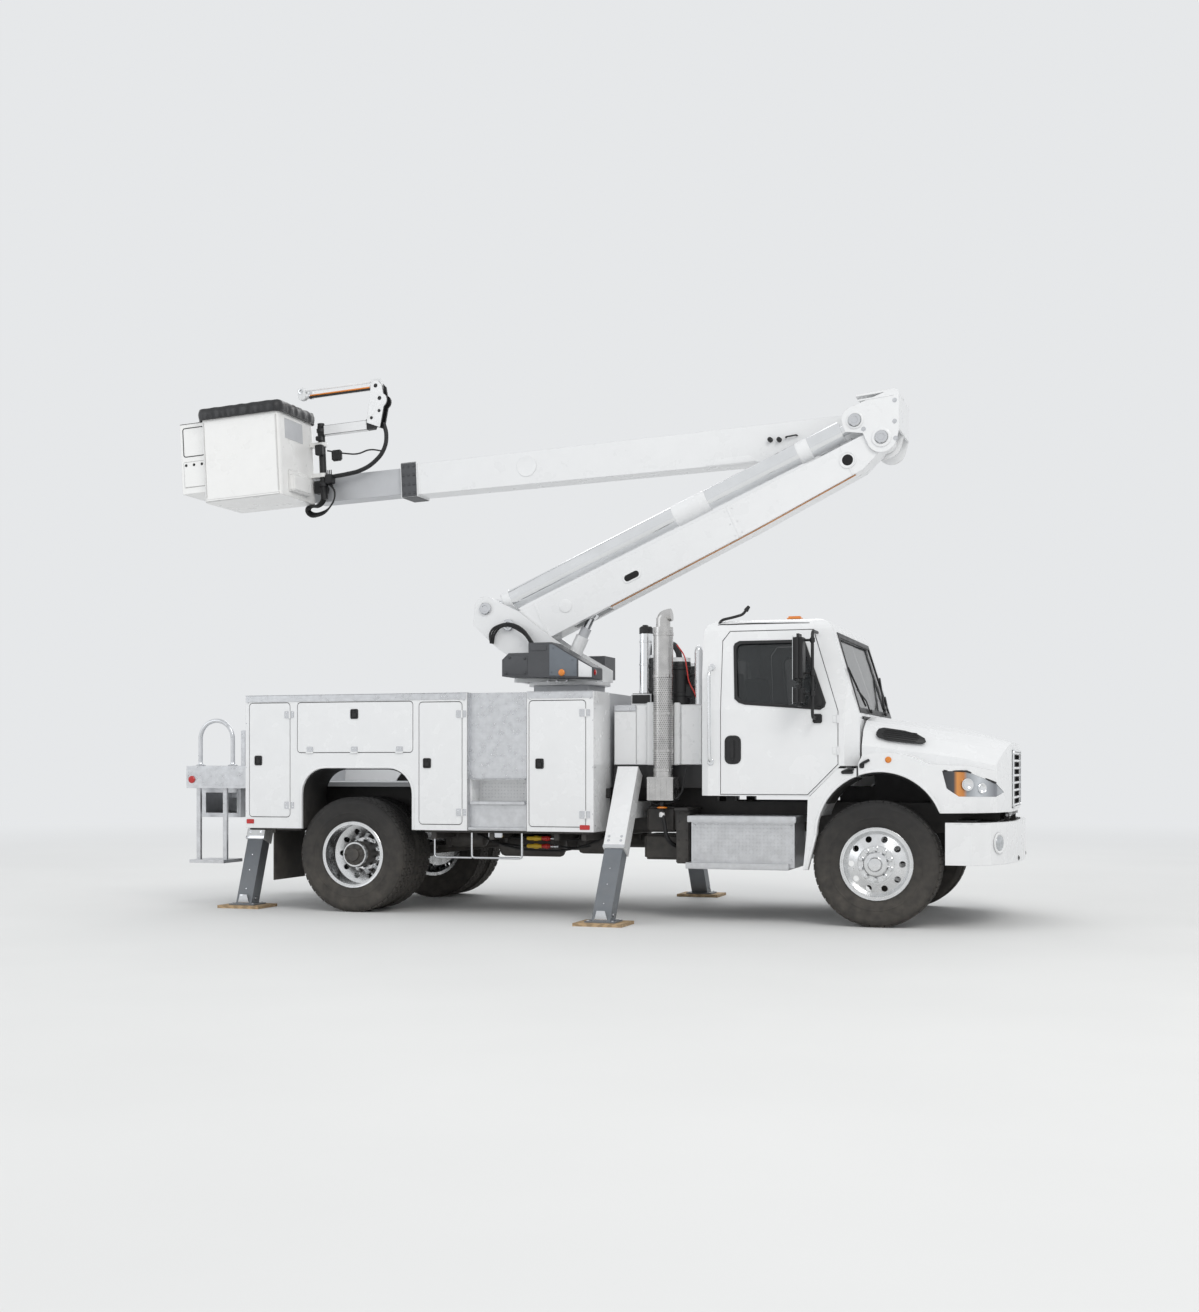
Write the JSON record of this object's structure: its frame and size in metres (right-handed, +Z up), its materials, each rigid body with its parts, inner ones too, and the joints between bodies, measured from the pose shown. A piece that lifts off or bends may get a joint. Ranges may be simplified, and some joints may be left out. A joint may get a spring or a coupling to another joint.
{
  "type": "cherry picker truck",
  "caption": "Conventional-cab service truck with side lockers, splayed outriggers and a folded two-boom aerial device carrying one covered work bucket.",
  "frame": {"origin": "bottom centre of the bounding box, on the ground under the truck", "axes": "+X towards the front bumper, +Y to the truck's left, +Z up"},
  "size_m": [7.8842, 3.58, 5.0437],
  "materials": {
    "white_paint": "gloss",
    "black_paint": "satin",
    "grey_paint": "satin",
    "cover_grey": "matte",
    "cast_metal": "matte",
    "aluminium_wheel": "polished",
    "tread_plate": "satin",
    "bright_tube": "polished",
    "stack_steel": "satin",
    "tyre_rubber": "matte",
    "window_glass": "gloss",
    "trim_plastic": "matte",
    "seat_trim": "matte",
    "lamp_lens": "gloss",
    "bucket_shell": "gloss",
    "cover_vinyl": "satin",
    "rod_steel": "satin"
  },
  "bodies": {
    "chassis": {"chassis_frame": "black_paint", "engine_block": "cast_metal", "front_axle": "black_paint", "rear_axle": "black_paint", "cab_shell": "white_paint", "cab_glass": "window_glass", "cab_interior": "seat_trim", "bumper": "white_paint", "step_box": "tread_plate", "fuel_tank": "tread_plate", "exhaust_stack": "stack_steel", "oil_tank": "white_paint", "side_pack_right": "white_paint", "side_pack_left": "white_paint", "cargo_deck": "grey_paint", "tail_shelf": "tread_plate", "outrigger_sleeves": "white_paint"},
    "hood_body": {"hood": "white_paint", "grille": "trim_plastic", "headlights": "lamp_lens"},
    "turret_body": {"turret": "white_paint", "turret_cover": "cover_grey"},
    "lower_boom_body": {"lower_boom": "white_paint"},
    "levelling_link_body": {"levelling_link": "bright_tube"},
    "elbow_body": {"elbow": "white_paint"},
    "lift_barrel_body": {"lift_barrel": "white_paint"},
    "lift_stage_body": {"lift_stage": "grey_paint"},
    "lift_rod_body": {"lift_rod": "rod_steel"},
    "upper_boom_body": {"upper_boom": "white_paint"},
    "inner_boom_body": {"inner_boom": "grey_paint"},
    "bucket_bracket_body": {"bucket_bracket": "black_paint"},
    "bucket_body": {"bucket": "bucket_shell", "bucket_cover": "cover_vinyl"},
    "jib_body": {"jib_arm": "white_paint"},
    "knuckle_right": {"front_knuckle_right": "cast_metal"},
    "front_wheel_right": {"front_tyre_right": "tyre_rubber", "front_rim_right": "aluminium_wheel"},
    "rear_wheels_right": {"rear_tyres_right": "tyre_rubber", "rear_rims_right": "aluminium_wheel"},
    "cab_door_right_body": {"cab_door_right": "white_paint", "mirrors_right": "trim_plastic"},
    "rear_door_right_body": {"rear_door_right": "white_paint"},
    "drop_door_right_body": {"drop_door_right": "white_paint"},
    "middle_door_right_body": {"middle_door_right": "white_paint"},
    "front_door_right_body": {"front_door_right": "white_paint"},
    "front_leg_right_body": {"front_leg_right": "grey_paint"},
    "rear_leg_right_body": {"rear_leg_right": "grey_paint"},
    "knuckle_left": {"front_knuckle_left": "cast_metal"},
    "front_wheel_left": {"front_tyre_left": "tyre_rubber", "front_rim_left": "aluminium_wheel"},
    "rear_wheels_left": {"rear_tyres_left": "tyre_rubber", "rear_rims_left": "aluminium_wheel"},
    "cab_door_left_body": {"cab_door_left": "white_paint", "mirrors_left": "trim_plastic"},
    "rear_door_left_body": {"rear_door_left": "white_paint"},
    "drop_door_left_body": {"drop_door_left": "white_paint"},
    "middle_door_left_body": {"middle_door_left": "white_paint"},
    "front_door_left_body": {"front_door_left": "white_paint"},
    "front_leg_left_body": {"front_leg_left": "grey_paint"},
    "rear_leg_left_body": {"rear_leg_left": "grey_paint"}
  },
  "joints": [
    {"name": "steer_right", "type": "hinge", "parent": "chassis", "child": "knuckle_right", "pos_m": [2.85206, -0.915, 0.515], "axis": [0, 0, 1], "range_deg": [-35, 35]},
    {"name": "front_wheel_right_spin", "type": "hinge", "parent": "knuckle_right", "child": "front_wheel_right", "pos_m": [2.85206, -1.0325, 0.515], "axis": [0, 1, 0], "continuous": true},
    {"name": "rear_wheels_right_spin", "type": "hinge", "parent": "chassis", "child": "rear_wheels_right", "pos_m": [-1.82794, -1, 0.515], "axis": [0, 1, 0], "continuous": true},
    {"name": "cab_door_right_swing", "type": "hinge", "parent": "chassis", "child": "cab_door_right_body", "pos_m": [2.53006, -1.0883, 1.7], "axis": [0, 0, 1], "range_deg": [0, 65]},
    {"name": "rear_door_right_swing", "type": "hinge", "parent": "chassis", "child": "rear_door_right_body", "pos_m": [-2.43494, -1.2083, 1.35], "axis": [0, 0, 1], "range_deg": [0, 100]},
    {"name": "middle_door_right_swing", "type": "hinge", "parent": "chassis", "child": "middle_door_right_body", "pos_m": [-0.74994, -1.2083, 1.35], "axis": [0, 0, 1], "range_deg": [0, 100]},
    {"name": "front_door_right_swing", "type": "hinge", "parent": "chassis", "child": "front_door_right_body", "pos_m": [0.39006, -1.2083, 1.35], "axis": [0, 0, 1], "range_deg": [0, 100]},
    {"name": "drop_door_right_swing", "type": "hinge", "parent": "chassis", "child": "drop_door_right_body", "pos_m": [-1.79094, -1.2083, 1.43], "axis": [1, 0, 0], "range_deg": [0, 90]},
    {"name": "front_leg_right_slide", "type": "slide", "parent": "chassis", "child": "front_leg_right_body", "axis": [0, 0.5225, 0.8526], "range_m": [0, 0.45]},
    {"name": "rear_leg_right_slide", "type": "slide", "parent": "chassis", "child": "rear_leg_right_body", "axis": [0, 0.342, 0.9397], "range_m": [0, 0.27]},
    {"name": "steer_left", "type": "hinge", "parent": "chassis", "child": "knuckle_left", "pos_m": [2.85206, 0.915, 0.515], "axis": [0, 0, 1], "range_deg": [-35, 35]},
    {"name": "front_wheel_left_spin", "type": "hinge", "parent": "knuckle_left", "child": "front_wheel_left", "pos_m": [2.85206, 1.0325, 0.515], "axis": [0, 1, 0], "continuous": true},
    {"name": "rear_wheels_left_spin", "type": "hinge", "parent": "chassis", "child": "rear_wheels_left", "pos_m": [-1.82794, 1, 0.515], "axis": [0, 1, 0], "continuous": true},
    {"name": "cab_door_left_swing", "type": "hinge", "parent": "chassis", "child": "cab_door_left_body", "pos_m": [2.53006, 1.0883, 1.7], "axis": [0, 0, -1], "range_deg": [0, 65]},
    {"name": "rear_door_left_swing", "type": "hinge", "parent": "chassis", "child": "rear_door_left_body", "pos_m": [-2.43494, 1.2083, 1.35], "axis": [0, 0, -1], "range_deg": [0, 100]},
    {"name": "middle_door_left_swing", "type": "hinge", "parent": "chassis", "child": "middle_door_left_body", "pos_m": [-0.74994, 1.2083, 1.35], "axis": [0, 0, -1], "range_deg": [0, 100]},
    {"name": "front_door_left_swing", "type": "hinge", "parent": "chassis", "child": "front_door_left_body", "pos_m": [0.39006, 1.2083, 1.35], "axis": [0, 0, -1], "range_deg": [0, 100]},
    {"name": "drop_door_left_swing", "type": "hinge", "parent": "chassis", "child": "drop_door_left_body", "pos_m": [-1.79094, 1.2083, 1.43], "axis": [-1, 0, 0], "range_deg": [0, 90]},
    {"name": "front_leg_left_slide", "type": "slide", "parent": "chassis", "child": "front_leg_left_body", "axis": [0, -0.5225, 0.8526], "range_m": [0, 0.45]},
    {"name": "rear_leg_left_slide", "type": "slide", "parent": "chassis", "child": "rear_leg_left_body", "axis": [0, -0.342, 0.9397], "range_m": [0, 0.27]},
    {"name": "hood_tilt", "type": "hinge", "parent": "chassis", "child": "hood_body", "pos_m": [3.82706, 0, 0.9], "axis": [0, 1, 0], "range_deg": [0, 60]},
    {"name": "turret_turn", "type": "hinge", "parent": "chassis", "child": "turret_body", "pos_m": [-0.16794, 0, 2.05], "axis": [0, 0, 1], "continuous": true},
    {"name": "lower_boom_lift", "type": "hinge", "parent": "turret_body", "child": "lower_boom_body", "pos_m": [-0.65294, -0.157, 2.609], "axis": [0, -1, 0], "range_deg": [-15, 38]},
    {"name": "levelling_link_turn", "type": "hinge", "parent": "turret_body", "child": "levelling_link_body", "pos_m": [-0.88294, -0.157, 2.769], "axis": [0, -1, 0], "range_deg": [-15.1, 38.1]},
    {"name": "elbow_turn", "type": "hinge", "parent": "lower_boom_body", "child": "elbow_body", "pos_m": [2.77377, -0.157, 4.13467], "axis": [0, -1, 0], "range_deg": [-38.1, 15.1]},
    {"name": "lift_barrel_turn", "type": "hinge", "parent": "turret_body", "child": "lift_barrel_body", "pos_m": [-0.15994, -0.157, 2.152], "axis": [0, -1, 0], "range_deg": [-9, 23]},
    {"name": "lift_stage_slide", "type": "slide", "parent": "lift_barrel_body", "child": "lift_stage_body", "axis": [0.4449, 0, 0.8956], "range_m": [-0.09, 0.21]},
    {"name": "lift_rod_slide", "type": "slide", "parent": "lift_stage_body", "child": "lift_rod_body", "axis": [0.4449, 0, 0.8956], "range_m": [-0.09, 0.21]},
    {"name": "upper_boom_lift", "type": "hinge", "parent": "elbow_body", "child": "upper_boom_body", "pos_m": [2.69206, 0.164, 4.26], "axis": [0, 1, 0], "range_deg": [-1, 75]},
    {"name": "inner_boom_slide", "type": "slide", "parent": "upper_boom_body", "child": "inner_boom_body", "axis": [-0.9991, 0, -0.0419], "range_m": [-0.5, 1.2]},
    {"name": "bucket_level", "type": "hinge", "parent": "inner_boom_body", "child": "bucket_bracket_body", "pos_m": [-2.73318, 0, 4.03262], "axis": [0, 1, 0], "range_deg": [-75.1, 1.1]},
    {"name": "bucket_turn", "type": "hinge", "parent": "bucket_bracket_body", "child": "bucket_body", "pos_m": [-2.68824, -0.06, 4.03497], "axis": [-0.0523, 0, 0.9986], "range_deg": [0, 90]},
    {"name": "jib_raise", "type": "hinge", "parent": "bucket_bracket_body", "child": "jib_body", "pos_m": [-2.10647, -0.06, 4.9717], "axis": [0, 1, 0], "range_deg": [0, 110]}
  ],
  "couplings": [
    {"joint": "steer_left", "follows": "steer_right", "ratio": 1},
    {"joint": "levelling_link_turn", "follows": "lower_boom_lift", "ratio": 1},
    {"joint": "elbow_turn", "follows": "lower_boom_lift", "ratio": -1},
    {"joint": "lift_barrel_turn", "follows": "lower_boom_lift", "ratio": 0.6},
    {"joint": "lift_stage_slide", "follows": "lower_boom_lift", "m_per_rad": 0.31},
    {"joint": "lift_rod_slide", "follows": "lower_boom_lift", "m_per_rad": 0.31},
    {"joint": "bucket_level", "follows": "upper_boom_lift", "ratio": -1}
  ]
}
